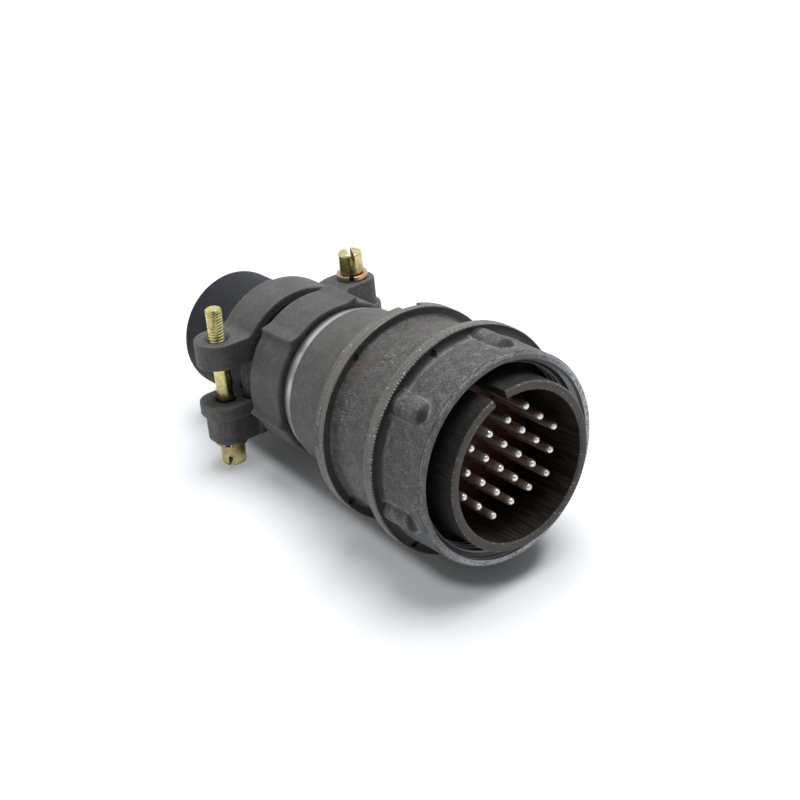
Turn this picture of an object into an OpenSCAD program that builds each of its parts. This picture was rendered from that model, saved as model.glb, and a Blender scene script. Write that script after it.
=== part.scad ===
// Threaded circular cable plug: pin contacts, coupling nut, back shell and a two-saddle cable clamp.
// The plug's axis is the Y axis: y = 0 is the mouth of the shell, and the cable leaves towards +Y.
// Angles about the axis are counted from straight up (+Z) towards -X.

/* [Contacts] */
// Distance between neighbouring contacts
pitch = 4.76; // [4.4:0.02:5]
// Diameter of a mating pin
pin_d = 1.6; // [1.2:0.05:2]
// Length of pin that stands in front of the insert
pin_reach = 12.5; // [9:0.5:14]
// Distance of the pin tips behind the shell's mouth
pin_depth = 2.9; // [1:0.1:5]
// Diameter of the shoulder that the two inserts trap
shoulder_d = 2.9; // [2.7:0.05:3.4]
// Length of the trapped shoulder
shoulder_len = 2.8; // [2:0.1:3.6]
// Outer diameter of a solder cup
cup_d = 2.4; // [2.2:0.05:2.6]
// Bore of a solder cup
cup_bore_d = 1.7; // [1.2:0.05:1.9]
// Depth of a solder cup's bore
cup_depth = 4.5; // [3:0.25:6]
// Length of solder cup behind the rear insert
cup_reach = 6; // [4:0.5:9]
// Contacts in each row, counted from the keyway
row_counts = [4, 5, 6, 5, 4];
// Clearance round a contact in its holes
contact_fit = 0.05; // [0.02:0.01:0.1]

/* [Inserts] */
// Thickness of the front insert's nose, inside the barrel
nose_t = 3; // [2:0.25:5]
// Thickness of the front insert's flange
front_flange_t = 3; // [2.4:0.1:5]
// Thickness of the rear insert
rear_insert_t = 4; // [3:0.25:7]
// Height of the step that the front insert's flange rests on
insert_step = 1; // [0.6:0.1:1.4]
// Clearance round the inserts in the shell
insert_fit = 0.1; // [0.05:0.01:0.2]
// Thickness of the snap ring behind the inserts
snap_t = 1; // [0.6:0.1:1.6]
// Width of the snap ring's section
snap_w = 1.7; // [1.2:0.1:2.4]
// Depth of the snap ring's groove
snap_groove = 0.5; // [0.3:0.05:0.7]
// Gap between the snap ring's ends
snap_gap = 6; // [3:0.5:10]

/* [Plug shell] */
// Diameter of the coupling thread
coupling_d = 38.1; // [36:0.1:42]
// Running clearance between the shell's shoulder and the nut
nut_run = 0.35; // [0.3:0.05:0.6]
// Height of the shell's shoulder over its neck
shell_step = 1.35; // [1:0.05:1.6]
// Wall of the neck round the inserts
neck_wall = 1.3; // [1.1:0.05:1.8]
// Wall of the mating barrel
barrel_wall = 1.85; // [1.4:0.05:2.2]
// Length of the mating barrel, from its mouth to the shoulder
barrel_len = 11.8; // [10:0.1:13]
// Thickness of the shell's shoulder
shell_step_t = 2.6; // [2:0.1:3.5]
// Length of neck behind the snap ring
neck_lip = 0.6; // [0.4:0.1:2]
// Width of the keyway slot
keyway_w = 3; // [2.4:0.1:4]
// Length of the keyway slot
keyway_len = 11.2; // [7:0.1:13]
// Angle of the keyway
key_turn = 14; // [0:0.5:40]
// Bevel on the barrel's mouth
mouth_bevel = 0.35; // [0.1:0.05:0.6]

/* [Coupling nut] */
// Distance of the nut's rim behind the shell's mouth
rim_back = 3.7; // [2:0.1:6]
// Wall of the nut outside the coupling thread
nut_wall = 2.3; // [1.8:0.05:3]
// Depth by which the nut's mouth opens wider than the thread
mouth_step = 0.85; // [0.5:0.05:1.2]
// Length of the wide mouth
mouth_len = 2.2; // [1:0.1:3]
// Bevel round the rim
rim_bevel = 0.5; // [0.2:0.05:0.8]
// Axial play of the nut, in front of and behind its lip
nut_float = 0.4; // [0.3:0.05:0.8]
// Thickness of the lip that pulls on the shell's shoulder
lip_t = 3.1; // [2:0.1:4]
// Clearance between the lip and the neck
lip_fit = 0.3; // [0.3:0.05:0.6]
// Height of the nut's flange
nut_flange_h = 2.05; // [1.8:0.05:3]
// Thickness of the nut's flange
nut_flange_t = 2.5; // [2:0.1:3]
// Number of grip lugs
lug_count = 6; // [4:1:8]
// Angle of the first grip lug
lug_turn = 47.5; // [0:0.5:60]
// Width of a grip lug
lug_w = 4.8; // [3.5:0.1:6]
// Length of a grip lug in front of the flange
lug_len = 8.9; // [6:0.1:10]
// Height of a grip lug at the flange
lug_h = 1.45; // [0.8:0.05:1.7]
// Radius of the fillet in front of the nut's flange
nut_fillet = 0.8; // [0.3:0.05:1]
// Diameter of the lock-wire holes
wire_hole_d = 1.4; // [0.8:0.1:1.6]
// Lock-wire holes in the nut's flange
nut_wire_holes = 3; // [2:1:6]
// Angle of the first lock-wire hole in the nut's flange
nut_wire_turn = 17.5; // [0:0.5:90]

/* [Back shell] */
// Radial clearance of the threaded seats
thread_fit = 0.05; // [0.02:0.01:0.1]
// Wall of the front sleeve
sleeve_wall = 2.8; // [2.4:0.05:4]
// Length of the front sleeve
sleeve_len = 13.7; // [12:0.1:20]
// Height of the back shell's flange
back_flange_h = 2.1; // [1.8:0.05:3]
// Thickness of the back shell's flange
back_flange_t = 2.8; // [2:0.1:4]
// Radius of the fillet in front of the back shell's flange
root_fillet = 0.6; // [0.3:0.05:0.9]
// Diameter of the rear barrel
rear_barrel_d = 33.8; // [33:0.1:36]
// Wall of the rear barrel
rear_wall = 1.7; // [1.2:0.05:2]
// Length of the rear barrel behind the flange
rear_barrel_len = 15.7; // [12:0.1:24]
// Length of the bright taper at its end
taper_len = 3.5; // [1.5:0.1:5]
// Height that the taper falls
taper_h = 1; // [0.6:0.05:1.2]
// Number of spanner notches in the flange's rear side
notch_count = 4; // [2:1:6]
// Angle of the first spanner notch
notch_turn = -8; // [-20:0.5:20]
// Width of a spanner notch
notch_w = 4.6; // [3:0.1:7]
// Depth of a spanner notch along the axis
notch_t = 1.5; // [1:0.1:1.8]
// Depth of a spanner notch below the rim
notch_h = 3; // [2:0.1:4]
// Lock-wire holes in the back shell's flange
back_wire_holes = 4; // [2:1:6]
// Angle of the first lock-wire hole in the back shell's flange
back_wire_turn = 36; // [0:0.5:90]
// Length of the threaded tail inside the clamp
tail_len = 8; // [5:0.1:9]
// Wall of the threaded tail
tail_wall = 1.7; // [1.2:0.05:2.2]
// Length of the funnel that narrows to the tail
funnel_len = 3; // [2:0.1:5]

/* [Cable clamp] */
// Gap between the back shell's taper and the clamp
clamp_gap = 0.8; // [0.4:0.1:1.5]
// Wall of the clamp outside its thread
clamp_wall = 2.3; // [1.8:0.05:3]
// Length of the clamp
clamp_len = 10.1; // [9.8:0.1:14]
// Number of wrench flats
flat_count = 3; // [2:1:3]
// Angle of the first wrench flat
flat_turn = 13; // [0:0.5:60]
// Width of a wrench flat
flat_w = 18.2; // [14:0.1:20]
// Depth of a wrench flat below the clamp's round outside
flat_drop = 1.2; // [0.4:0.05:1.4]
// Radius of the fillet beside each corner of a wrench flat
flat_fillet = 1.5; // [0.6:0.1:2.2]
// Gap between the clamp and the saddles
saddle_gap = 3.6; // [1:0.1:5]
// Width of a saddle along the axis
saddle_w = 8.2; // [7:0.1:12]
// Wall of a saddle outside the bushing
saddle_wall = 3.6; // [3:0.05:4.5]
// Thickness of the saddle's hooked lip
hook_t = 0.9; // [0.6:0.05:1.5]
// Wall of the neck that the saddles hook on
hook_wall = 1.2; // [0.9:0.05:1.4]
// Height of the collar that holds the hooks
hook_h = 0.8; // [0.5:0.05:0.9]
// Thickness of that collar
hook_collar_t = 1.7; // [1:0.1:2.5]
// Clearance between the saddles and what they hold
saddle_fit = 0.3; // [0.3:0.05:0.4]
// Distance of each screw from the axis
screw_offset = 17.8; // [17:0.1:20]
// Distance of the screws behind a saddle's front face
screw_back = 5; // [4.5:0.1:8]
// Radius of the threaded ear's round end
ear_r = 5; // [3.6:0.1:5.4]
// Height of the threaded ear's underside over the clamp's middle plane
tapped_low = 4.9; // [3:0.1:6]
// Height of the threaded ear's top
tapped_high = 10.6; // [9:0.1:11.5]
// Diameter of the countersink at the threaded ear's top
sink_d = 5.8; // [4.4:0.1:7]
// Depth of that countersink
sink_depth = 0.9; // [0.4:0.1:1.5]
// Radius of the fillet between the threaded ear and the arch
ear_fillet = 2.5; // [2:0.1:5]
// Height of the boss ear's underside
boss_low = 3.4; // [2:0.1:5]
// Thickness of the boss ear's plate
plate_t = 3.1; // [2:0.1:4]
// How far the plate stands out round its boss
plate_rim = 0.9; // [0.2:0.05:1.2]
// Height of the boss's seat
boss_high = 12.5; // [11.5:0.1:13.5]
// Half the width of the boss
boss_half = 4.3; // [3.8:0.1:4.8]
// Corner radius of the boss
boss_corner = 3.2; // [1.5:0.1:3.7]
// Height of the web where it meets the arch
web_high = 12; // [10:0.1:12.5]

/* [Clamp screws] */
// Diameter of a clamp screw
screw_d = 3.5; // [3:0.05:4]
// Diameter of a screw's head
head_d = 5.2; // [4.8:0.1:6]
// Height of a screw's head
head_h = 4.7; // [3:0.1:5]
// Bevel round a screw's head
head_bevel = 0.35; // [0.2:0.05:0.8]
// Width of a screw's slot
slot_w = 0.95; // [0.6:0.05:1.2]
// Depth of a screw's slot
slot_depth = 2.3; // [1.2:0.1:2.8]
// Length by which a screw stands out of its threaded ear
tip_reach = 6.6; // [6.2:0.1:9]
// Bevel at a screw's tip
tip_bevel = 0.35; // [0.1:0.05:0.6]
// Clearance round a screw in its plain hole
screw_clear = 0.45; // [0.3:0.05:0.5]
// Outer diameter of a lock washer
washer_d = 6.8; // [6:0.1:7.6]
// Thickness of a lock washer
washer_t = 1.2; // [0.8:0.05:1.6]
// Gap between a lock washer's ends
washer_gap = 0.9; // [0.5:0.05:1.4]
// Running clearance under a screw's head
head_fit = 0.05; // [0.02:0.01:0.1]
// Angle of the right screw's slot
right_slot_turn = -26; // [-90:1:90]
// Angle of the left screw's slot
left_slot_turn = 49; // [-90:1:90]
// Angle of the gap in the right screw's lock washer
right_gap_turn = -38; // [-90:1:90]
// Angle of the gap in the left screw's lock washer
left_gap_turn = 49; // [-90:1:90]

/* [Bushing] */
// Outer diameter of the rubber bushing
bushing_d = 25.4; // [24:0.1:27]
// Bore of the bushing
bushing_bore_d = 19; // [15:0.1:21]
// Length of bushing behind the saddles
bushing_reach = 19.4; // [8:0.1:24]
// Length of bushing inside the back shell's tail
bushing_seat = 4.5; // [2:0.1:6]
// Bevel round the bushing's ends
bushing_bevel = 1; // [0.4:0.1:1.6]
// How far the rubber swells outwards behind the saddles
bushing_swell = 0.5; // [0.1:0.05:0.8]
// Clearance round the bushing in the tail
bushing_fit = 0.2; // [0.1:0.05:0.4]

/* [Hidden] */
$fn = 96;
over = 1;

// Radii from the coupling thread inwards, then outwards
thread_r = coupling_d / 2;
step_r = thread_r - nut_run;
neck_r = step_r - shell_step;
seat_r = neck_r - neck_wall;
bore_r = seat_r - insert_step;
barrel_r = bore_r + barrel_wall;
lip_r = neck_r + lip_fit;
nut_r = thread_r + nut_wall;
nut_flange_r = nut_r + nut_flange_h;
sleeve_bore_r = neck_r + thread_fit;
sleeve_r = sleeve_bore_r + sleeve_wall;
back_flange_r = sleeve_r + back_flange_h;
rear_barrel_r = rear_barrel_d / 2;
cavity_r = rear_barrel_r - rear_wall;

// Radii from the bushing outwards
bushing_r = bushing_d / 2;
pass_r = bushing_r + bushing_fit;
tail_r = pass_r + tail_wall;
clamp_bore_r = tail_r + thread_fit;
clamp_r = clamp_bore_r + clamp_wall;
hook_neck_r = pass_r + hook_wall;
hook_collar_r = hook_neck_r + hook_h;
grip_r = bushing_r + saddle_fit;
saddle_r = grip_r + saddle_wall;

// Places along the axis, from the mating side
face_y = pin_depth + pin_reach;
insert_step_y = face_y + nose_t;
split_y = insert_step_y + front_flange_t;
insert_end_y = split_y + rear_insert_t;
snap_y = insert_end_y + insert_fit;
neck_end_y = snap_y + snap_t + insert_fit + neck_lip;
step_end_y = barrel_len + shell_step_t;
lip_y = step_end_y + nut_float;
nut_end_y = lip_y + lip_t;
nut_flange_y = nut_end_y - nut_flange_t;
sleeve_y = nut_end_y + nut_float;
sleeve_seat_y = neck_end_y + insert_fit;
back_flange_y = sleeve_y + sleeve_len;
back_flange_end_y = back_flange_y + back_flange_t;
taper_y = back_flange_end_y + rear_barrel_len;
taper_end_y = taper_y + taper_len;
clamp_y = taper_end_y + clamp_gap;
tail_end_y = clamp_y + tail_len;
clamp_end_y = clamp_y + clamp_len;
saddle_y = clamp_end_y + saddle_gap;
saddle_end_y = saddle_y + saddle_w;
hook_collar_y = saddle_y + hook_t + saddle_fit;
hook_collar_end_y = hook_collar_y + hook_collar_t;
screw_y = saddle_y + screw_back;
bushing_y = tail_end_y - bushing_seat;
bushing_end_y = saddle_end_y + bushing_reach;

// Heights along a clamp screw
screw_r = screw_d / 2;
washer_high = boss_high + washer_t;
head_low = washer_high + head_fit;
tip_high = tapped_high + tip_reach;

// Contact places [x, z], row by row from the keyway
row_step = pitch * sqrt(3) / 2;
middle_row = (len(row_counts) - 1) / 2;
contact_places = [
    for (row = [0:len(row_counts) - 1])
        for (i = [0:row_counts[row] - 1])
            [(i - (row_counts[row] - 1) / 2) * pitch, (middle_row - row) * row_step]
];

function two_digits(n) = str(n < 10 ? "0" : "", n);
contact_nodes = [for (i = [1:len(contact_places)]) str("contact_", two_digits(i))];

// Turns a profile of [radius, y] points about the axis
module revolve(profile) {
    rotate([-90, 0, 0])
        rotate_extrude()
            polygon(profile);
}

// A round bar along the axis from one y to another
module bar(r, from, to) {
    translate([0, from, 0])
        rotate([-90, 0, 0])
            cylinder(r = r, h = to - from);
}

// Turns its children about the axis
module turned(angle) {
    rotate([0, -angle, 0])
        children();
}

// Repeats its children evenly about the axis
module around(count, first) {
    for (i = [0:count - 1])
        turned(first + i * 360 / count)
            children();
}

// Sets its children at every contact's place
module at_contacts() {
    turned(key_turn)
        for (place = contact_places)
            translate([place[0], 0, place[1]])
                children();
}

// Points of a fillet from a wall of radius r to the front of a flange at y
function root_arc(r, y, fillet) =
    [for (a = [0:15:90]) [r + fillet * (1 - cos(a)), y - fillet * (1 - sin(a))]];

// A lock-wire hole through a flange, where the flange meets the wall of radius r
module wire_hole(r, from, to) {
    translate([0, 0, r + wire_hole_d / 4])
        bar(wire_hole_d / 2, from - over, to + over);
}

// One grip lug: a half-round rib in front of the flange, with a round nose that slopes down to the nut
module grip_lug() {
    rib_r = (pow(lug_w / 2, 2) + pow(lug_h, 2)) / (2 * lug_h);
    nose_y = nut_flange_y - lug_len + lug_w / 2;
    intersection() {
        translate([0, 0, nut_r + lug_h - rib_r])
            union() {
                bar(rib_r, nose_y, nut_flange_y + over / 2);
                translate([0, nose_y, 0])
                    rotate([-90, 0, 0])
                        sphere(r = rib_r);
            }
        translate([-lug_w, nose_y - lug_w, nut_r - over])
            cube([2 * lug_w, lug_len + lug_w, 2 * lug_h + over]);
    }
}

module coupling_nut() {
    mouth_r = thread_r + mouth_step;
    color("dimgray")
        difference() {
            union() {
                revolve([
                    [mouth_r, rim_back],
                    [nut_r - rim_bevel, rim_back],
                    [nut_r, rim_back + rim_bevel],
                    each root_arc(nut_r, nut_flange_y, nut_fillet),
                    [nut_flange_r, nut_flange_y],
                    [nut_flange_r, nut_end_y],
                    [lip_r, nut_end_y],
                    [lip_r, lip_y],
                    [thread_r, lip_y],
                    [thread_r, rim_back + mouth_len],
                    [mouth_r, rim_back + mouth_len - mouth_step]
                ]);
                around(lug_count, lug_turn)
                    grip_lug();
            }
            around(nut_wire_holes, nut_wire_turn)
                wire_hole(nut_r, nut_flange_y, nut_end_y);
        }
}

module plug_shell() {
    groove_r = seat_r + snap_groove;
    color("darkslategray")
        difference() {
            revolve([
                [bore_r, mouth_bevel],
                [bore_r + mouth_bevel, 0],
                [barrel_r - mouth_bevel, 0],
                [barrel_r, mouth_bevel],
                [barrel_r, barrel_len],
                [step_r, barrel_len],
                [step_r, step_end_y],
                [neck_r, step_end_y],
                [neck_r, neck_end_y],
                [seat_r, neck_end_y],
                [seat_r, neck_end_y - neck_lip],
                [groove_r, neck_end_y - neck_lip],
                [groove_r, insert_end_y],
                [seat_r, insert_end_y],
                [seat_r, insert_step_y],
                [bore_r, insert_step_y]
            ]);
            turned(key_turn)
                translate([-keyway_w / 2, -over, bore_r - over])
                    cube([keyway_w, keyway_len + over, barrel_wall + 2 * over]);
        }
}

module front_insert() {
    color("saddlebrown")
        difference() {
            revolve([
                [0, face_y],
                [bore_r - insert_fit, face_y],
                [bore_r - insert_fit, insert_step_y],
                [seat_r - insert_fit, insert_step_y],
                [seat_r - insert_fit, split_y],
                [0, split_y]
            ]);
            at_contacts() {
                bar(pin_d / 2 + contact_fit, face_y - over, split_y + over);
                bar(shoulder_d / 2 + contact_fit, split_y - shoulder_len / 2, split_y + over);
            }
        }
}

module rear_insert() {
    color("saddlebrown")
        difference() {
            bar(seat_r - insert_fit, split_y, insert_end_y);
            at_contacts() {
                bar(cup_d / 2 + contact_fit, split_y - over, insert_end_y + over);
                bar(shoulder_d / 2 + contact_fit, split_y - over, split_y + shoulder_len / 2);
            }
        }
}

module insert_ring() {
    ring_r = seat_r + snap_groove - insert_fit;
    color("silver")
        difference() {
            bar(ring_r, snap_y, snap_y + snap_t);
            bar(ring_r - snap_w, snap_y - over, snap_y + snap_t + over);
            turned(key_turn + 180)
                translate([-snap_gap / 2, snap_y - over, 0])
                    cube([snap_gap, snap_t + 2 * over, ring_r + over]);
        }
}

// One contact: a round-ended pin, the trapped shoulder and a solder cup with its open side outwards
module contact(place) {
    tip_r = pin_d / 2;
    cup_end_y = insert_end_y + cup_reach;
    color("silver")
        turned(key_turn)
            translate([place[0], 0, place[1]])
                difference() {
                    union() {
                        translate([0, pin_depth + tip_r, 0])
                            rotate([-90, 0, 0])
                                sphere(r = tip_r);
                        bar(tip_r, pin_depth + tip_r, split_y);
                        bar(shoulder_d / 2, split_y - shoulder_len / 2, split_y + shoulder_len / 2);
                        bar(cup_d / 2, split_y, cup_end_y);
                    }
                    bar(cup_bore_d / 2, cup_end_y - cup_depth, cup_end_y + over);
                    translate([-cup_d, cup_end_y - cup_depth / 2, 0])
                        cube([2 * cup_d, cup_depth, cup_d]);
                }
}

// A straight spanner notch in the rear side of the back shell's flange
module spanner_notch() {
    translate([-notch_w / 2, back_flange_end_y - notch_t, back_flange_r - notch_h])
        cube([notch_w, notch_t + over, notch_h + over]);
}

module endbell() {
    color("dimgray")
        difference() {
            revolve([
                [sleeve_bore_r, sleeve_y],
                [sleeve_r, sleeve_y],
                each root_arc(sleeve_r, back_flange_y, root_fillet),
                [back_flange_r, back_flange_y],
                [back_flange_r, back_flange_end_y],
                [rear_barrel_r, back_flange_end_y],
                [rear_barrel_r, taper_y],
                [rear_barrel_r - taper_h, taper_end_y],
                [tail_r, taper_end_y],
                [tail_r, tail_end_y],
                [pass_r, tail_end_y],
                [pass_r, taper_y],
                [cavity_r, taper_y - funnel_len],
                [cavity_r, sleeve_seat_y],
                [sleeve_bore_r, sleeve_seat_y]
            ]);
            around(notch_count, notch_turn)
                spanner_notch();
            around(back_wire_holes, back_wire_turn)
                wire_hole(sleeve_r, back_flange_y, back_flange_end_y);
        }
}

// A wrench flat's section: a block across the round body, with a fillet beside each of its corners
module flat_section() {
    side = flat_w / 2;
    fillet_x = side + flat_fillet;
    fillet_z = sqrt(pow(clamp_r + flat_fillet, 2) - pow(fillet_x, 2));
    touch = clamp_r / (clamp_r + flat_fillet);
    translate([-side, 0])
        square([flat_w, clamp_r - flat_drop]);
    for (flip = [0, 1])
        mirror([flip, 0])
            difference() {
                polygon([
                    [side - over, fillet_z],
                    [side, fillet_z],
                    [fillet_x * touch, fillet_z * touch],
                    [side - over, fillet_z * touch]
                ]);
                translate([fillet_x, fillet_z])
                    circle(r = flat_fillet);
            }
}

// The clamp's section across the axis
module clamp_section() {
    circle(r = clamp_r);
    for (i = [0:flat_count - 1])
        rotate(flat_turn + i * 360 / flat_count)
            flat_section();
}

module clamp_nut() {
    color("dimgray")
        difference() {
            union() {
                translate([0, clamp_end_y, 0])
                    rotate([90, 0, 0])
                        linear_extrude(clamp_len)
                            clamp_section();
                bar(hook_neck_r, clamp_end_y - over, hook_collar_end_y);
                bar(hook_collar_r, hook_collar_y, hook_collar_end_y);
            }
            bar(clamp_bore_r, clamp_y - over, tail_end_y + insert_fit);
            bar(pass_r, clamp_y - over, hook_collar_end_y + over);
        }
}

// The saddle's section across the axis: the arch, the threaded ear at -X and the boss ear at +X
module saddle_section() {
    fillet_z = tapped_high + ear_fillet;
    fillet_x = -sqrt(pow(saddle_r + ear_fillet, 2) - pow(fillet_z, 2));
    touch = saddle_r / (saddle_r + ear_fillet);
    difference() {
        circle(r = saddle_r);
        translate([-2 * saddle_r, tapped_low - 4 * saddle_r])
            square([2 * saddle_r, 4 * saddle_r]);
        translate([0, boss_low - 4 * saddle_r])
            square([2 * saddle_r, 4 * saddle_r]);
    }
    translate([-screw_offset - ear_r, tapped_low])
        square([screw_offset + ear_r - grip_r, tapped_high - tapped_low]);
    difference() {
        polygon([
            [fillet_x, tapped_high],
            [fillet_x * touch, fillet_z * touch],
            [fillet_x * touch, tapped_high]
        ]);
        translate([fillet_x, fillet_z])
            circle(r = ear_fillet);
    }
    polygon([
        [grip_r / 2, boss_low],
        [grip_r / 2, web_high],
        [sqrt(pow(saddle_r, 2) - pow(web_high, 2)), web_high],
        [screw_offset - boss_half, boss_high],
        [screw_offset, boss_high],
        [screw_offset, boss_low]
    ]);
}

// The saddle seen from above: a full-width arch and two narrower ears
module saddle_plan() {
    translate([-grip_r, saddle_y])
        square([2 * grip_r, saddle_w]);
    translate([-screw_offset, screw_y])
        circle(r = ear_r);
    translate([-screw_offset, screw_y - ear_r])
        square([screw_offset, 2 * ear_r]);
    translate([0, screw_y - boss_half])
        square([screw_offset, 2 * boss_half]);
}

// A square with round corners, centred on the boss ear's screw
module boss_plan(half, corner) {
    inner = half - corner;
    translate([screw_offset, screw_y])
        union() {
            square([2 * half, 2 * inner], center = true);
            square([2 * inner, 2 * half], center = true);
            for (x = [-inner, inner])
                for (y = [-inner, inner])
                    translate([x, y])
                        circle(r = corner);
        }
}

// The boss ear's plate seen from above: round corners outside, straight sides up to the arch
module plate_plan() {
    half = boss_half + plate_rim;
    boss_plan(half, boss_corner + plate_rim);
    translate([grip_r, screw_y - half])
        square([screw_offset - grip_r, 2 * half]);
}

// One saddle, with its arch upwards. Both saddles are this casting.
module saddle() {
    difference() {
        union() {
            intersection() {
                translate([0, screw_y + saddle_w, 0])
                    rotate([90, 0, 0])
                        linear_extrude(2 * saddle_w)
                            saddle_section();
                linear_extrude(saddle_r + tip_reach)
                    saddle_plan();
            }
            translate([0, 0, boss_low])
                linear_extrude(plate_t)
                    plate_plan();
            translate([0, 0, boss_low])
                linear_extrude(boss_high - boss_low)
                    boss_plan(boss_half, boss_corner);
        }
        bar(grip_r, saddle_y - over, saddle_end_y + ear_r);
        bar(hook_neck_r + saddle_fit, saddle_y - over, saddle_y + hook_t + over / 2);
        bar(hook_collar_r + saddle_fit, saddle_y + hook_t, hook_collar_end_y + saddle_fit);
        translate([-screw_offset, screw_y, 0])
            cylinder(r = screw_r + thread_fit, h = tip_high);
        translate([-screw_offset, screw_y, tapped_high - sink_depth])
            cylinder(r1 = screw_r + thread_fit, r2 = sink_d / 2, h = sink_depth);
        translate([screw_offset, screw_y, 0])
            cylinder(r = screw_r + screw_clear, h = tip_high);
    }
}

module upper_saddle() {
    color("dimgray")
        saddle();
}

module lower_saddle() {
    color("dimgray")
        turned(180)
            saddle();
}

// One slotted clamp screw at +X, with its head up
module clamp_screw(slot_turn) {
    head_high = head_low + head_h;
    translate([screw_offset, screw_y, 0])
        difference() {
            rotate_extrude()
                polygon([
                    [0, -tip_high],
                    [screw_r - tip_bevel, -tip_high],
                    [screw_r, -tip_high + tip_bevel],
                    [screw_r, head_low],
                    [head_d / 2, head_low],
                    [head_d / 2, head_high - head_bevel],
                    [head_d / 2 - head_bevel, head_high],
                    [0, head_high]
                ]);
            rotate([0, 0, slot_turn])
                translate([-slot_w / 2, -head_d, head_high - slot_depth])
                    cube([slot_w, 2 * head_d, slot_depth + over]);
        }
}

module left_clamp_screw() {
    color("goldenrod")
        turned(180)
            clamp_screw(left_slot_turn);
}

module right_clamp_screw() {
    color("goldenrod")
        clamp_screw(right_slot_turn);
}

// One split lock washer on the boss at +X
module lock_washer(gap_turn) {
    hole_r = screw_r + screw_clear;
    translate([screw_offset, screw_y, boss_high])
        difference() {
            cylinder(d = washer_d, h = washer_t);
            translate([0, 0, -over])
                cylinder(r = hole_r, h = washer_t + 2 * over);
            rotate([0, 0, gap_turn])
                translate([-washer_gap / 2, -washer_d, -over])
                    cube([washer_gap, washer_d, washer_t + 2 * over]);
        }
}

module left_lock_washer() {
    color("goldenrod")
        turned(180)
            lock_washer(left_gap_turn);
}

module right_lock_washer() {
    color("peru")
        lock_washer(right_gap_turn);
}

module bushing() {
    bore = bushing_bore_d / 2;
    swollen_r = bushing_r + bushing_swell;
    saddle_back_y = max(saddle_end_y, screw_y + ear_r, screw_y + boss_half + plate_rim);
    swell_y = saddle_back_y + saddle_fit;
    color("midnightblue")
        revolve([
            [bore, bushing_y],
            [bushing_r - bushing_bevel, bushing_y],
            [bushing_r, bushing_y + bushing_bevel],
            [bushing_r, swell_y],
            [swollen_r, swell_y + bushing_swell],
            [swollen_r, bushing_end_y - bushing_bevel],
            [swollen_r - bushing_bevel, bushing_end_y],
            [bore, bushing_end_y]
        ]);
}

coupling_nut();
plug_shell();
front_insert();
rear_insert();
insert_ring();
endbell();
clamp_nut();
upper_saddle();
lower_saddle();
left_clamp_screw();
right_clamp_screw();
left_lock_washer();
right_lock_washer();
bushing();
for (i = [0:len(contact_nodes) - 1])
    contact(contact_places[i]);
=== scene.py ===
import math
from typing import NamedTuple

import bmesh
import bpy
import numpy as np
from mathutils import Matrix, Vector


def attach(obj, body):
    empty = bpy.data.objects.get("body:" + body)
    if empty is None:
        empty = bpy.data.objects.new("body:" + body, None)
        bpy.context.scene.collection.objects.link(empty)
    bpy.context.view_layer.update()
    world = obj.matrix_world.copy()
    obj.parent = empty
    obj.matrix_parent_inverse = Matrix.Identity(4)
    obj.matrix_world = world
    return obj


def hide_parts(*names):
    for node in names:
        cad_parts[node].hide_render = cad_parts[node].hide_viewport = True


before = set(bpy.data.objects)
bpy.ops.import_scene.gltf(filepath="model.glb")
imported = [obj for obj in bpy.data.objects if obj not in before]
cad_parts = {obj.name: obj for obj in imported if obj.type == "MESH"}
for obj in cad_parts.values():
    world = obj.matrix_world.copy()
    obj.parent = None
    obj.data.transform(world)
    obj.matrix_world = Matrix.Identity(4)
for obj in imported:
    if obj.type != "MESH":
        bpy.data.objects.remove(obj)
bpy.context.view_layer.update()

# All sizes below are millimetres, as in the part's source; meshes are in metres.
# Turns about the plug's axis are degrees, counted from straight up towards -X.
MM = 0.001
CIRCLE = 2 * math.pi
Y_AXIS, Z_AXIS = 1, 2


def ends(node, axis):
    """Where a solid starts and stops along an axis."""
    places = [corner[axis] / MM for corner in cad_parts[node].bound_box]
    return round(min(places), 2), round(max(places), 2)


# Coupling nut
NUT_RIM_Y, NUT_END_Y = ends("coupling_nut", Y_AXIS)
NUT_R = 21.35
NUT_RIM_BEVEL = 0.5
NUT_FLANGE_R = 23.4
NUT_FLANGE_Y = NUT_END_Y - 2.5
NUT_FLANGE_BEVEL = 0.14
NUT_ROOT = 1.2
NUT_LIP_R = 17.65
NUT_LIP_Y = NUT_END_Y - 3.1
NUT_MOUTH_R = 19.9
NUT_COLUMNS = 448
LUG_COUNT = 6
LUG_TURN = 47.5
LUG_W = 4.8
LUG_H = 1.45
LUG_LEN = 8.9
LUG_BLEND = 0.12
TEETH = 224
TOOTH_DEPTH = 0.8
TOOTH_LEAST = 0.3
TOOTH_NOISE = 40.0
TOOTH_TURN = 60.0

# Coupling thread, with a lead-in cone from the mouth; slope and flat shape the ridge of every thread
THREAD_R = 19.05
THREAD_PITCH = 1.411
THREAD_DEPTH = 0.6
THREAD_END_Y = 11.0
THREAD_FADE = 1.2
THREAD_SLOPE = 2.5
THREAD_FLAT = 0.2
CONE_Y, CONE_END_Y = 4.3, 6.4

# Lock-wire holes through both flanges
WIRE_HOLE_R = 0.7
NUT_WIRE_R = 22.1
NUT_WIRE_TURNS = [17.5 + 120 * i for i in range(3)]
BACK_WIRE_R = 21.1
BACK_WIRE_TURNS = [36 + 90 * i for i in range(4)]

# Plug shell's mating barrel
BARREL_R = 16.9
BARREL_BORE_R = 15.05
BARREL_BEVEL = 0.1
BARREL_SHARP = 25.0

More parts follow.
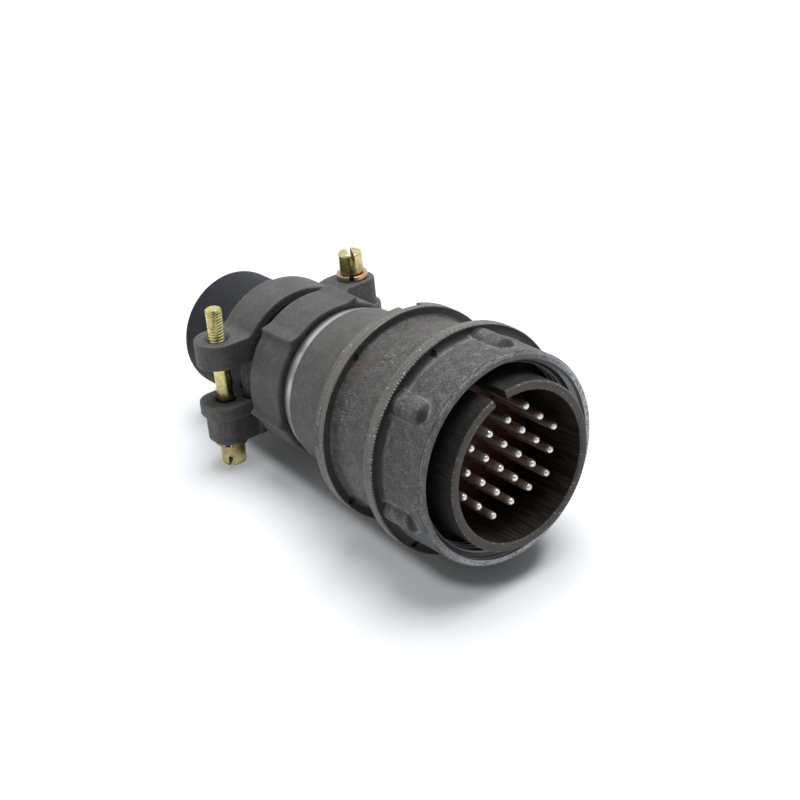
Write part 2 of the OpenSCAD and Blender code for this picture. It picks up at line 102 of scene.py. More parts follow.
# Back shell
SLEEVE_Y, TAIL_END_Y = ends("endbell", Y_AXIS)
SLEEVE_R = 20.2
SLEEVE_BORE_R = 17.4
SEAT_Y = 27.3
BACK_FLANGE_R = 22.3
BACK_FLANGE_Y, BACK_END_Y = 32.0, 34.8
REAR_R = 16.9
TAPER_R = 15.9
TAPER_Y, TAPER_END_Y = 50.5, 54.0
TAIL_R = 14.6
CAVITY_R = 15.2
FUNNEL_Y = 47.5
PASS_R = 12.9
NOTCH_TURNS = [-8 + 90 * i for i in range(4)]
NOTCH_W, NOTCH_T, NOTCH_H = 4.6, 1.5, 3.0
BACK_COLUMNS = 256

# Contacts
PIN_TIP_Y, CUP_END_Y = ends("contact_01", Y_AXIS)
SPLIT_Y = ends("front_insert", Y_AXIS)[1]
PITCH = 4.76
ROWS = (4, 5, 6, 5, 4)
KEY_TURN = 14.0
PIN_R = 0.8
SHOULDER_R = 1.45
SHOULDER_HALF = 1.4
CUP_R = 1.2
CUP_BORE_R = 0.85
CUP_DEPTH = 4.5
CUP_POINT = 0.4
CONTACT_COLUMNS = 32

# Clamp screws and washers; U is the height over the clamp's middle plane
TIP_U, HEAD_HIGH_U = ends("right_clamp_screw", Z_AXIS)
WASHER_U, WASHER_HIGH_U = ends("right_lock_washer", Z_AXIS)
SCREW_X, SCREW_Y = 17.8, 73.5
SCREW_R = 1.75
SCREW_PITCH = 0.635
SCREW_THREAD_DEPTH = 0.2
SCREW_THREAD_U = -4.2
SCREW_THREAD_FADE = 0.5
TIP_BEVEL = 0.35
HEAD_R = 2.6
HEAD_LOW_U = WASHER_HIGH_U + 0.05
SLOT_W, SLOT_DEPTH = 0.95, 2.3
RIGHT_SLOT_TURN, LEFT_SLOT_TURN = -26.0, 49.0
SCREW_COLUMNS = 56
WASHER_R, WASHER_BORE_R = 3.4, 2.2
WASHER_GAP = 0.9
WASHER_LIFT = 0.06
WASHER_BAR_SHARE = 0.94
WASHER_ROUNDING_SHARE = 0.16
WASHER_STEPS = 72
RIGHT_GAP_TURN, LEFT_GAP_TURN = -38.0, 49.0

# Bushing
BUSHING_Y, BUSHING_END_Y = ends("bushing", Y_AXIS)
BUSHING_R = 12.7
BUSHING_BORE_R = 9.5
SWELL_Y = 79.0
SWELL = 0.5
BUSHING_COLUMNS = 160

# Castings: the size of the grid they are softened on, and how often they are smoothed
SADDLE_GRID = 0.22
CLAMP_GRID = 0.24
CAST_ROUNDS = 12

# A surface is unrolled at this radius for marks that run along it or round it
UNROLL_R = 21.0

# Cutting tools stand out of the piece by the overcut; closer points than the join are made one
OVERCUT = 1.0
HOLE_COLUMNS = 28
JOIN = 0.0001


class Wire:
    """One output of a node. Arithmetic on it adds Math nodes to its tree."""

    def __init__(self, net, socket):
        self.net = net
        self.socket = socket

    def math(self, operation, *others):
        return self.net.node("ShaderNodeMath", {"operation": operation}, [self, *others])

    def capped(self):
        return self.math("MINIMUM", 1.0)

    def __add__(self, other):
        return self.math("ADD", other)

    def __sub__(self, other):
        return self.math("SUBTRACT", other)

    def __mul__(self, other):
        return self.math("MULTIPLY", other)

    def __truediv__(self, other):
        return self.math("DIVIDE", other)

    def __rsub__(self, other):
        return self.net.node("ShaderNodeMath", {"operation": "SUBTRACT"}, [other, self])

    def __rtruediv__(self, other):
        return self.net.node("ShaderNodeMath", {"operation": "DIVIDE"}, [other, self])

    __radd__ = __add__


class Net:
    """A node tree and the one way of adding a node to it."""

    def __init__(self, tree):
        self.tree = tree

    def node(self, kind, settings=None, inputs=(), out=0):
        made = self.tree.nodes.new(kind)
        for key, value in (settings or {}).items():
            setattr(made, key, value)
        pairs = inputs.items() if isinstance(inputs, dict) else enumerate(inputs)
        for key, value in pairs:
            if isinstance(value, Wire):
                self.tree.links.new(value.socket, made.inputs[key])
            else:
                made.inputs[key].default_value = value
        return Wire(self, made.outputs[out]) if len(made.outputs) else made

    def outputs(self, kind, *names):
        """Several outputs of one node that has no inputs to set."""
        made = self.tree.nodes.new(kind)
        return [Wire(self, made.outputs[name]) for name in names]

    def split(self, vector):
        """The three parts of a vector."""
        made = self.tree.nodes.new("ShaderNodeSeparateXYZ")
        self.tree.links.new(vector.socket, made.inputs[0])
        return [Wire(self, socket) for socket in made.outputs]

    def band(self, value, low, high):
        """0 below low, 1 above high and a smooth step between; low may be the larger."""
        settings = {"interpolation_type": "SMOOTHSTEP"}
        return self.node("ShaderNodeMapRange", settings, [value, low, high, 0.0, 1.0])

    def noise(self, place, size, detail=3.0, rough=0.55, warp=0.0):
        return self.node("ShaderNodeTexNoise", {}, {
            "Vector": place, "Scale": 1 / size, "Detail": detail, "Roughness": rough, "Distortion": warp})


def tone(code):
    """A colour from its six-digit screen code, as linear light."""
    parts = [int(code[i:i + 2], 16) / 255 for i in (0, 2, 4)]
    return tuple(c / 12.92 if c < 0.04045 else ((c + 0.055) / 1.055) ** 2.4 for c in parts) + (1.0,)


class Finish(Net):
    """A procedural material that knows a point's place on the plug, in millimetres,
    and the colour that has been painted so far."""

    def __init__(self, name):
        self.material = bpy.data.materials.new(name)
        self.material.use_nodes = True
        super().__init__(self.material.node_tree)
        self.tree.nodes.clear()
        place = self.node("ShaderNodeTexCoord", out="Object")
        self.place = self.node("ShaderNodeVectorMath", {"operation": "SCALE"},
                               {"Vector": place, "Scale": 1 / MM})
        self.x, self.y, self.z = self.split(self.place)
        self.r = (self.x * self.x + self.z * self.z).math("SQRT")
        self.turn = (self.x * -1.0).math("ARCTAN2", self.z) * (360 / CIRCLE)
        round_axis = self.turn * (UNROLL_R * CIRCLE / 360)
        self.unrolled = self.node("ShaderNodeCombineXYZ", {}, [round_axis, self.y, self.r])
        self.colour = None

    def grain(self, size, detail=3.0, rough=0.55, warp=0.0):
        return self.noise(self.place, size, detail, rough, warp)

    def blotches(self, size, low, high, detail=3.0, rough=0.55, warp=0.0):
        """Grain cut to patches: 0 where it is below low and 1 where it is above high."""
        return self.band(self.grain(size, detail, rough, warp), low, high)

    def stretched(self, scale, detail=3.0, rough=0.55):
        """Noise on the unrolled surface, scaled round the axis, along it and outwards."""
        drawn = self.node("ShaderNodeVectorMath", {"operation": "MULTIPLY"}, [self.unrolled, scale])
        return self.noise(drawn, 1.0, detail, rough)

    def streaks(self, across, along):
        """Noise drawn out along the axis."""
        return self.stretched((1 / across, 1 / along, 0.3))

    def rings(self, across, along):
        """Noise drawn out round the axis, as turning marks are."""
        return self.stretched((1 / along, 1 / across, 1 / across))

    def specks(self, spacing, size):
        """Small spots, 1 in the middle of each."""
        far = self.node("ShaderNodeTexVoronoi", {}, {"Vector": self.place, "Scale": 1 / spacing})
        return self.band(far, size / spacing, size / spacing * 0.4)

    def near(self, value, centre, width):
        """1 at centre, falling to 0 at width from it."""
        return self.band((value - centre).math("ABSOLUTE"), width, 0.0)

    def drilled(self, turns, at):
        """1 inside the lock-wire holes, which lie at even turns and one distance from the axis."""
        aside = (self.turn - turns[0]).math("PINGPONG", 180.0 / len(turns)) * (at * CIRCLE / 360)
        out = self.r - at
        far = (aside * aside + out * out).math("SQRT")
        return self.band(far, WIRE_HOLE_R + 0.06, WIRE_HOLE_R + 0.01)

    def stored(self, name):
        return self.node("ShaderNodeAttribute", {"attribute_name": name}, out="Fac")

    def blend(self, mask, first, second):
        return self.node("ShaderNodeMix", {"data_type": "RGBA"}, {0: mask, 6: first, 7: second}, out=2)

    def between(self, mask, first, second):
        """A blend of two tones."""
        return self.blend(mask, tone(first), tone(second))

    def coat(self, dark, light, patch, grit):
        """Starts with the mottled grey coat of the metal pieces; gives the height of its grain."""
        patches = self.grain(patch, 4.0, 0.6, 0.6)
        flecks = self.grain(2 * grit, 3.0, 0.7)
        self.colour = self.between(self.band(patches * 0.35 + flecks * 0.65, 0.42, 0.66), dark, light)
        return flecks * 0.6 + self.grain(grit, 2.0) * 0.4

    def paint(self, mask, over, strength=1.0):
        """Lays a tone, or a blend of tones, over the colour so far."""
        over = tone(over) if isinstance(over, str) else over
        self.colour = self.blend(mask * strength, self.colour, over)

    def bump(self, height, depth):
        return self.node("ShaderNodeBump", {}, {"Height": height, "Distance": depth * MM, "Strength": 1.0})

    def surface(self, **sockets):
        """Closes the material with the painted colour and the named sockets."""
        names = {key.replace("_", " ").title().replace("Ior", "IOR"): value for key, value in sockets.items()}
        shader = self.node("ShaderNodeBsdfPrincipled", {}, {"Base Color": self.colour, **names})
        self.node("ShaderNodeOutputMaterial", {}, [shader])
        return self.material


def rubbed_rim(f, rim, edges, dark, light, edge_share):
    """Paints a flange's rim, rubbed paler in rings; gives its bare specks and edges."""
    rubbed = f.rings(0.5, 9.0) * 0.45 + f.grain(0.4, 3.0, 0.7) * 0.55
    f.paint(rim, f.between(f.band(rubbed, 0.36, 0.64), dark, light))
    return rim * (f.specks(1.7, 0.26) + edges.capped() * f.blotches(0.16, 0.56, 0.68, 2.0) * edge_share)


def nut_finish():
    f = Finish("nut_cast_grey")
    height = f.coat("424242", "7c7c7c", patch=1.8, grit=0.17)
    body = f.band(f.r, NUT_R - 0.75, NUT_R - 0.45) * f.band(f.y, NUT_FLANGE_Y - 0.1, NUT_FLANGE_Y - 0.4)
    f.paint(f.blotches(0.45, 0.54, 0.66, 4.0, 0.7, 0.8) * body, "8a8a8a", 0.45)

    # Lugs: painted shade on their noses and along their feet. Skirt is how far a point lies outside a lug's
    # foot.
    skirt, blunt = f.stored("skirt"), f.stored("blunt")
    nose = f.band(blunt, 0.15, 0.55) * f.band(skirt, 0.12, -0.12) * f.blotches(0.5, 0.22, 0.4, 4.0, 0.7)
    f.paint(nose * body, "121111", 0.95)
    foot = f.near(skirt, -0.3, 0.28) * f.blotches(0.7, 0.4, 0.6)
    f.paint(foot * body, "2b2b2b", 0.55)

    # Flange: its front face painted near black, as painted shade
    front = f.band(f.y, NUT_FLANGE_Y - 1.15, NUT_FLANGE_Y - 0.75)
    front = front * f.band(f.y, NUT_END_Y - 0.6, NUT_END_Y - 1.0)
    ring = f.band(f.r, NUT_R + 0.05, NUT_R + 0.2) * f.band(f.r, NUT_FLANGE_R - 0.05, NUT_FLANGE_R - 0.2)
    f.paint(front * ring, "1b1a1b", 0.92)

    # Oxide: a haze and a light line along the lugs' feet and the flange's root
    root_y = NUT_FLANGE_Y - NUT_ROOT
    patchy = f.blotches(1.6, 0.34, 0.58)
    crumbly = f.blotches(0.3, 0.28, 0.55)
    clear = f.band(skirt, -0.1, 0.3)
    haze = f.near(skirt, 0.25, 1.0) + f.near(f.y, root_y - 0.3, 1.2) * clear
    f.paint(haze.capped() * (0.3 + patchy * 0.7) * body, "818287", 0.32)
    line = f.near(skirt, 0.05, 0.3) + f.near(f.y, root_y - 0.1, 0.26) * clear
    f.paint(line.capped() * patchy * crumbly * body, "a8acb5", 0.62)

    rim = f.band(f.r, NUT_FLANGE_R - 0.28, NUT_FLANGE_R - 0.1)
    edges = f.near(f.y, NUT_FLANGE_Y + 0.15, 0.4) + f.near(f.y, NUT_END_Y, 0.4)
    chipped = rubbed_rim(f, rim, edges, "5d5b57", "807d77", 0.9)

    # The front end, the thread's mouth and its crests are worn bare, and painted brighter towards the right
    # and below as a painted reflection of the white table in front
    below = f.band((f.z - f.x) * math.sqrt(0.5) / f.r, 0.55, -0.3)
    end_face = f.band(f.y, NUT_RIM_Y + 0.4, NUT_RIM_Y + 0.15)
    lip = end_face * (0.2 + below * 0.7) * f.blotches(0.35, 0.7, 0.42, 4.0, 0.7)
    # A painted highlight along the lip's outer edge
    lip_highlight = f.near(f.y, NUT_RIM_Y + 0.42, 0.14) * f.blotches(1.2, 0.4, 0.6) * 0.5
    mouth = f.band(f.r, NUT_MOUTH_R + 0.15, NUT_MOUTH_R) * f.band(f.y, NUT_RIM_Y + 1.9, NUT_RIM_Y + 1.1)
    mouth = mouth * (0.35 + below * 0.65) * (0.6 + f.rings(0.25, 7.0) * 0.6)
    crest = f.band(f.stored("crest"), 0.45, 0.85) * (0.5 + below * 0.4)
    spots = f.specks(1.3, 0.2) * f.blotches(3.0, 0.5, 0.62) * body * 0.3
    # Bare metal: real wear, with painted highlight and painted reflection on the lip, mouth and crests
    bare = (chipped + lip + mouth + crest + lip_highlight + spots).capped()
    # Painted shade: a dark line where the end's bevel meets the body
    groove_shade = f.near(f.y, NUT_RIM_Y + 0.6, 0.26) * f.band(f.r, NUT_R - 0.45, NUT_R - 0.25)
    f.paint(groove_shade * f.blotches(0.8, 0.36, 0.56, 4.0, 0.7), "161616", 0.9)
    # Painted shade: the bore inside the mouth is painted dark grey
    f.paint(f.band(f.r, NUT_MOUTH_R + 0.05, NUT_MOUTH_R - 0.15), "29292b")
    f.paint(bare, "c6c8cb")
    f.paint(f.specks(0.9, 0.26) * end_face, "3c3b3a", 0.7)

    # A chip of blue beside the top lug, and painted shade inside the holes
    f.paint(f.near(f.turn, -4.0, 0.9) * f.near(f.y, root_y, 0.3) * body, "2d62b8")
    f.paint(f.drilled(NUT_WIRE_TURNS, NUT_WIRE_R), "0c0c0c")
    rough = 0.6 - bare * 0.2 - rim * 0.06 + f.grain(0.16, 2.0) * 0.08
    return f.surface(metallic=bare * 0.45 + 0.1, roughness=rough, normal=f.bump(height, 0.09))


def shell_finish():
    f = Finish("shell_brown_grey")
    # A near-black brown coat: partly the shell's own colour, partly painted shade for the barrel inside the
    # nut's mouth
    height = f.coat("0f0e0e", "2c2b29", patch=1.6, grit=0.16)
    drawn = f.streaks(0.5, 9.0)
    f.paint(f.band(drawn, 0.5, 0.75), "4e4b46", 0.25)
    inside = f.band(f.r, BARREL_BORE_R + 0.45, BARREL_BORE_R + 0.05) * f.band(f.y, 0.3, 1.0)
    f.paint(inside, f.between(f.band(drawn, 0.42, 0.62), "15120f", "43372f"), 0.9)

    # The mouth: a paler end face, with bare specks on it and along its edges
    face = f.band(f.y, 0.45, 0.2)
    f.paint(face, "625f5b", 0.75)
    edges = f.near(f.r, BARREL_BORE_R + 0.2, 0.3) + f.near(f.r, BARREL_R - 0.15, 0.3)
    edges = (edges * f.band(f.y, 0.6, 0.2)).capped() * f.blotches(0.45, 0.54, 0.66, 4.0, 0.7) * 0.8
    bare = (edges + f.specks(2.4, 0.22) * face * 0.7).capped()
    f.paint(bare, "b9b5ac")
    return f.surface(metallic=bare * 0.7 + 0.1, roughness=0.58 - bare * 0.2, specular_ior_level=0.25,
                     normal=f.bump(height * 0.5 + drawn * 0.5, 0.02))


def back_finish():
    f = Finish("back_shell_grey")
    height = f.coat("454443", "757472", patch=2.4, grit=0.17)

    # Front sleeve: worn flecks, a brown stain and patches of slanting scratches
    sleeve = f.band(f.y, BACK_FLANGE_Y + 2.0, BACK_FLANGE_Y) * f.band(f.r, SLEEVE_R - 0.2, SLEEVE_R - 0.1)
    f.paint(sleeve * f.blotches(0.6, 0.55, 0.68, 5.0, 0.7, 1.2), "8b8a88", 0.4)
    stain = f.near(f.turn, 40.0, 15.0) * f.near(f.y, BACK_FLANGE_Y - 2.0, 2.4)
    f.paint(stain * f.blotches(0.9, 0.38, 0.58, 4.0, 0.7) * sleeve, "6e5848", 0.75)
    low_patch = f.near(f.turn, 66.0, 26.0) * f.near(f.y, BACK_FLANGE_Y - 3.0, 4.5)
    high_patch = f.near(f.turn, 28.0, 9.0) * f.near(f.y, BACK_FLANGE_Y - 7.0, 4.0)
    scratches = f.band(f.stretched((2.8, 0.7, 0.1), 4.0, 0.7), 0.54, 0.66)
    f.paint(sleeve * (low_patch + high_patch).capped() * scratches, "b4b2ae", 0.85)

    # Flange: a front face painted dark as painted shade, and a rubbed rim
    front = f.band(f.y, BACK_FLANGE_Y - 0.3, BACK_FLANGE_Y)
    front = front * f.band(f.y, BACK_FLANGE_Y + 1.0, BACK_FLANGE_Y + 0.4)
    ring = f.band(f.r, BACK_FLANGE_R - 0.08, BACK_FLANGE_R - 0.25)
    ring = ring * f.band(f.r, SLEEVE_R + 0.3, SLEEVE_R + 0.7)
    f.paint(front * ring, "373635", 0.8)
    rim = f.band(f.r, BACK_FLANGE_R - 0.25, BACK_FLANGE_R - 0.1)
    edges = f.near(f.y, BACK_FLANGE_Y, 0.35) + f.near(f.y, BACK_END_Y, 0.35)
    chipped = rubbed_rim(f, rim, edges, "5e5c57", "827f78", 1.0)

    # Rear barrel, smoother, down to its bare taper, which carries a painted highlight
    barrel = f.band(f.y, BACK_END_Y + 0.1, BACK_END_Y + 0.6) * f.band(f.r, REAR_R - 0.4, REAR_R - 0.2)
    f.paint(barrel, f.between(f.rings(0.25, 12.0), "504f4d", "656462"), 0.45)
    taper = f.band(f.y, TAPER_Y - 0.1, TAPER_Y + 0.15) * f.band(f.y, TAPER_END_Y + 0.3, TAPER_END_Y)
    spots = sleeve * f.specks(3.1, 0.2) * f.blotches(4.0, 0.52, 0.6) * 0.8
    bare = (chipped + spots).capped() * (1 - taper)
    f.paint(bare, "b5b2ab")
    turned_metal_highlight = f.between(f.rings(0.2, 8.0), "c0c2c6", "dadcdf")
    # The taper: turned metal painted near white, greyer towards the clamp, as a painted highlight
    f.paint(taper, f.blend(f.near(f.y, TAPER_Y + 1.0, 2.2), tone("7d7e81"), turned_metal_highlight))
    # Painted shade inside the lock-wire holes
    f.paint(f.drilled(BACK_WIRE_TURNS, BACK_WIRE_R), "0c0c0c")
    return f.surface(metallic=bare * 0.7 + taper * 0.65 + 0.1, roughness=0.58 - bare * 0.25 - taper * 0.25,
                     normal=f.bump(height * (1 - taper), 0.08))


def clamp_finish():
    f = Finish("clamp_smooth_grey")
    height = f.coat("494848", "656464", patch=3.5, grit=0.18)
    ridge = f.stored("ridge")
    # Painted highlight along the edges and painted shade in the inner corners
    f.paint(f.band(ridge, 0.1, 0.8), "77756f", 0.2)
    f.paint(f.band(ridge, -0.1, -0.6), "2b2a2a", 0.5)
    return f.surface(metallic=0.1, roughness=0.56 + f.grain(0.5) * 0.1, normal=f.bump(height, 0.035))


def insert_finish():
    f = Finish("insert_red_brown")
    f.colour = f.between(f.grain(1.2, 4.0), "33160e", "552619")
    return f.surface(roughness=0.22 + f.grain(0.6) * 0.16, specular_ior_level=0.35,
                     normal=f.bump(f.grain(0.4, 2.0), 0.008))


def contact_finish():
    f = Finish("contact_silver_plate")
    tip = f.band(f.y, PIN_TIP_Y + 1.5, PIN_TIP_Y + 0.7)
    # The shaft is painted brown, a painted reflection of the red-brown insert; the tip is bright silver
    f.colour = f.between(f.streaks(0.3, 6.0), "86705f", "b59c88")
    f.paint(tip, f.between(f.grain(0.7, 4.0), "f0eee8", "fbfaf6"))
    return f.surface(metallic=tip * 0.4 + 0.2, roughness=0.36 - tip * 0.2)


def spring_finish():
    f = Finish("ring_spring_steel")
    f.colour = f.between(f.rings(0.3, 6.0), "7d7c7a", "a3a19d")
    return f.surface(metallic=1.0, roughness=0.35 + f.grain(0.3) * 0.1)


def about_screw(f, side, turn):
    """A point's place beside a screw's axis: across a slot or gap at this turn, and along it."""
    x, y = f.x * side - SCREW_X, f.y - SCREW_Y
    c, s = math.cos(math.radians(turn)), math.sin(math.radians(turn))
    return x * c + y * s, x * s - y * c


def zinc_finish(name, side, turn):
    """Uneven gold, made browner low on the head by painted shade; side is -1 for the screw that points down.
    """
    f = Finish(name)
    f.colour = f.between(f.blotches(1.6, 0.36, 0.62, 3.0, 0.5, 0.8), "bdb673", "ddd094")
    f.paint(f.blotches(1.1, 0.54, 0.7), "9a7350", 0.6)
    f.paint(f.blotches(2.3, 0.56, 0.7), "cbd0ae", 0.6)
    height = f.z * side
    low = f.band(height, HEAD_HIGH_U - 1.2, HEAD_LOW_U + 0.6) * f.band(height, -3.0, 2.0)
    # Painted shade: browner and darker low on the head and down the shank
    f.paint(low * (0.35 + f.grain(1.4) * 0.5), "7d5f3a")
    across, _ = about_screw(f, side, turn)
    slot_floor = HEAD_HIGH_U - SLOT_DEPTH
    slot = f.band(across.math("ABSOLUTE"), SLOT_W / 2 + 0.03, SLOT_W / 2 + 0.01)
    slot = slot * f.band(height, slot_floor - 0.1, slot_floor - 0.05)
    # Painted shade: the slot's inside is a duller brown gold and less metallic
    f.paint(slot, "8d7c4a", 0.85)
    return f.surface(metallic=0.95 - slot * 0.75, roughness=0.16 + f.grain(0.4, 4.0) * 0.16 + slot * 0.4,
                     normal=f.bump(f.grain(0.2), 0.012))


def washer_finish(name, side, turn, left, right):
    """Copper that changes tone from one side of the split to the other."""
    f = Finish(name)
    across, gapward = about_screw(f, side, turn)
    f.colour = f.between(f.band(across, -1.2, 1.2), left, right)
    f.paint(f.grain(0.8, 4.0), "8f7350", 0.6)
    # Painted light: the ends beside the split are pale lilac, for the white seen through the gap
    f.paint(f.band(across.math("ABSOLUTE"), 0.85, 0.7) * f.band(gapward, 0.2, 0.6), "b5b3b8")
    return f.surface(metallic=0.9, roughness=0.3 + f.grain(0.3) * 0.15)


def rubber_finish():
    f = Finish("bushing_blue_black_rubber")
    f.colour = f.between(f.grain(2.0, 4.0), "1f2127", "2b2e36")
    f.paint(f.blotches(0.3, 0.62, 0.78, 4.0, 0.7), "4c4f57", 0.35)
    return f.surface(roughness=0.6 + f.grain(0.6) * 0.15, specular_ior_level=0.2,
                     normal=f.bump(f.grain(0.25), 0.015))


class Shape(Net):
    """A Geometry Nodes tree with named sizes."""

    KINDS = {"geometry": "NodeSocketGeometry", "count": "NodeSocketInt", "size": "NodeSocketFloat",
             "finish": "NodeSocketMaterial", "object": "NodeSocketObject"}

    def __init__(self, name, sizes):
        super().__init__(bpy.data.node_groups.new(name, "GeometryNodeTree"))
        self.tree.interface.new_socket("Geometry", in_out="OUTPUT", socket_type="NodeSocketGeometry")
        for size, kind in sizes.items():
            self.tree.interface.new_socket(size, in_out="INPUT", socket_type=self.KINDS[kind])
        self.enter = self.tree.nodes.new("NodeGroupInput")

    def size(self, name):
        return Wire(self, self.enter.outputs[name])

    def field(self, name):
        return self.node("GeometryNodeInputNamedAttribute", {"data_type": "FLOAT"}, {"Name": name})

    def store(self, geometry, name, value):
        return self.node("GeometryNodeStoreNamedAttribute", {"data_type": "FLOAT", "domain": "POINT"},
                         {"Geometry": geometry, "Name": name, "Value": value})

    def close(self, geometry):
        plain = self.node("GeometryNodeRealizeInstances", {}, [geometry])
        dressed = self.node("GeometryNodeSetMaterial", {}, {
            "Geometry": plain, "Material": self.size("Finish")})
        leave = self.tree.nodes.new("NodeGroupOutput")
        self.tree.links.new(dressed.socket, leave.inputs[0])
        return self


def turned_tree():
    """A section turned about the axis, with optional lugs, a thread and a ragged edge."""
    s = Shape("turned_piece", {
        "Section": "geometry", "Columns": "count", "Lugs": "count", "Lug Turn": "size",
        "Lug Radius": "size", "Lug Centre": "size", "Lug Width": "size", "Lug Front": "size",
        "Thread Pitch": "size", "Thread Depth": "size", "Teeth": "count", "Tooth Depth": "size",
        "Tooth Turn": "size", "Finish": "finish"})
    columns = s.size("Columns")
    circle = s.node("GeometryNodeCurvePrimitiveCircle", {"mode": "RADIUS"}, {"Resolution": columns})
    circle = s.store(circle, "turn", s.node("GeometryNodeInputIndex") * CIRCLE / columns)
    section = s.node("GeometryNodeMeshToCurve", {}, [s.size("Section")])
    wall = s.node("GeometryNodeCurveToMesh", {}, {"Curve": circle, "Profile Curve": section})
    r, along, turn = s.field("r"), s.field("along"), s.field("turn")
    body, thread, edge = s.field("body"), s.field("thread"), s.field("edge")

    # Lugs: round ribs with round noses, half sunk in the body
    lean = (turn - s.size("Lug Turn")).math("PINGPONG", math.pi / s.size("Lugs"))
    aside = s.size("Lug Centre") * lean.math("SINE")
    half = s.size("Lug Width") * 0.5
    ahead = (along - s.size("Lug Front") - half).math("MINIMUM", 0.0)
    far = aside * aside + ahead * ahead
    reach = (s.size("Lug Radius") * s.size("Lug Radius") - far).math("MAXIMUM", 0.0).math("SQRT")
    rib = s.size("Lug Centre") * lean.math("COSINE") + reach
    swollen = r.math("SMOOTH_MAX", rib, LUG_BLEND)
    r = r + body * (swollen - r)

    # Thread: a ridge that climbs one pitch in a turn, flat at its crest and its root
    climb = along / s.size("Thread Pitch") + turn / CIRCLE
    flank = climb.math("PINGPONG", 0.5) * THREAD_SLOPE - THREAD_FLAT
    ridge = flank.math("MAXIMUM", 0.0).capped()
    r = r - thread * s.size("Thread Depth") * ridge

    # Ragged edge: fine teeth of uneven depth, deepest on one side
    tooth = (turn * s.size("Teeth") / CIRCLE).math("PINGPONG", 0.5) * 2.0
    uneven = s.noise(s.node("ShaderNodeCombineXYZ", {}, [turn * TOOTH_NOISE, 0.0, 0.0]), 1.0, 2.0)
    swing = (turn - s.size("Tooth Turn")).math("COSINE")
    rough_side = swing * ((1 - TOOTH_LEAST) / 2) + (1 + TOOTH_LEAST) / 2
    bite = tooth * uneven * rough_side * s.size("Tooth Depth")
    along = along + edge.math("MAXIMUM", 0.0) * bite
    r = r + edge.math("MINIMUM", 0.0) * bite

    # Marks for the finish: distance outside a lug's foot, share of its nose, and the thread's crest
    wall = s.store(wall, "skirt", far.math("SQRT") - half)
    wall = s.store(wall, "blunt", ahead / half * -1.0)
    wall = s.store(wall, "crest", thread * ridge)
    place = s.node("ShaderNodeCombineXYZ", {}, [
        turn.math("SINE") * r * -MM, along * MM, turn.math("COSINE") * r * MM])
    moved = s.node("GeometryNodeSetPosition", {}, {"Geometry": wall, "Position": place})
    return s.close(s.node("GeometryNodeMergeByDistance", {}, {"Geometry": moved, "Distance": JOIN * MM}))


def repeat_tree():
    """One piece set at every point of a layout."""
    s = Shape("repeated_piece", {"Places": "geometry", "Piece": "object", "Finish": "finish"})
    piece = s.node("GeometryNodeObjectInfo", {}, {"Object": s.size("Piece")}, out="Geometry")
    return s.close(s.node("GeometryNodeInstanceOnPoints", {}, {
        "Points": s.size("Places"), "Instance": piece}))


def washer_tree():
    """A spring washer: a rounded bar bent into an open ring."""
    s = Shape("split_washer", {
        "Start": "geometry", "Middle Radius": "size", "Bar Width": "size", "Bar Height": "size",
        "Gap": "size", "Lift": "size", "Finish": "finish"})
    half = s.size("Gap") / s.size("Middle Radius") * 0.5
    arc = s.node("GeometryNodeCurveArc", {"mode": "RADIUS"}, {
        "Resolution": WASHER_STEPS, "Radius": s.size("Middle Radius"), "Start Angle": half,
        "Sweep Angle": CIRCLE - half * 2.0})
    share = s.node("GeometryNodeSplineParameter")
    lift = s.node("ShaderNodeCombineXYZ", {}, [0.0, 0.0, (share - 0.5) * s.size("Lift")])
    arc = s.node("GeometryNodeSetPosition", {}, {"Geometry": arc, "Offset": lift})
    arc = s.node("GeometryNodeSetCurveNormal", {"mode": "Z_UP"}, [arc])
    bar = s.node("GeometryNodeCurvePrimitiveQuadrilateral", {"mode": "RECTANGLE"}, {
        "Width": s.size("Bar Width"), "Height": s.size("Bar Height")})
    bar = s.node("GeometryNodeFilletCurve", {"mode": "POLY"}, {
        "Curve": bar, "Count": 3, "Radius": s.size("Bar Width") * WASHER_ROUNDING_SHARE})
    return s.close(s.node("GeometryNodeCurveToMesh", {}, {
        "Curve": arc, "Profile Curve": bar, "Fill Caps": True}))


def settle(piece):
    """Turns a piece with modifiers into a plain mesh."""
    bpy.context.view_layer.update()
    graph = bpy.context.evaluated_depsgraph_get()
    mesh = bpy.data.meshes.new_from_object(piece.evaluated_get(graph), depsgraph=graph)
    piece.modifiers.clear()
    piece.data = mesh
    for name in ("r", "along", "turn", "body", "thread", "edge"):
        if name in mesh.attributes:
            mesh.attributes.remove(mesh.attributes[name])
    return piece


def outward(piece, sharp=38.0):
    """Points the faces out and shades them smooth except at sharp edges."""
    shape = bmesh.new()
    shape.from_mesh(piece.data)
    bmesh.ops.recalc_face_normals(shape, faces=shape.faces)
    shape.to_mesh(piece.data)
    shape.free()
    piece.data.shade_smooth()
    piece.data.set_sharp_from_angle(angle=math.radians(sharp))
    return piece


def added(name, mesh):
    """A new piece in the scene."""
    piece = bpy.data.objects.new(name, mesh)
    bpy.context.scene.collection.objects.link(piece)
    return piece


def grown(name, shape, start, sizes):
    """A piece made by a tree from a start mesh and named sizes."""
    piece = added(name, start)
    modifier = piece.modifiers.new("shape", "NODES")
    modifier.node_group = shape.tree
    for item in shape.tree.interface.items_tree:
        if item.in_out == "INPUT" and item.name in sizes:
            modifier[item.identifier] = sizes[item.name]
    return settle(piece)


class Corner(NamedTuple):
    """A corner of a section. Its step and zone hold up to the next corner; a mark is its own zone."""

    r: float
    along: float
    rounding: float = 0.0
    step: float = 0.8
    zone: str = ""
    mark: str = ""


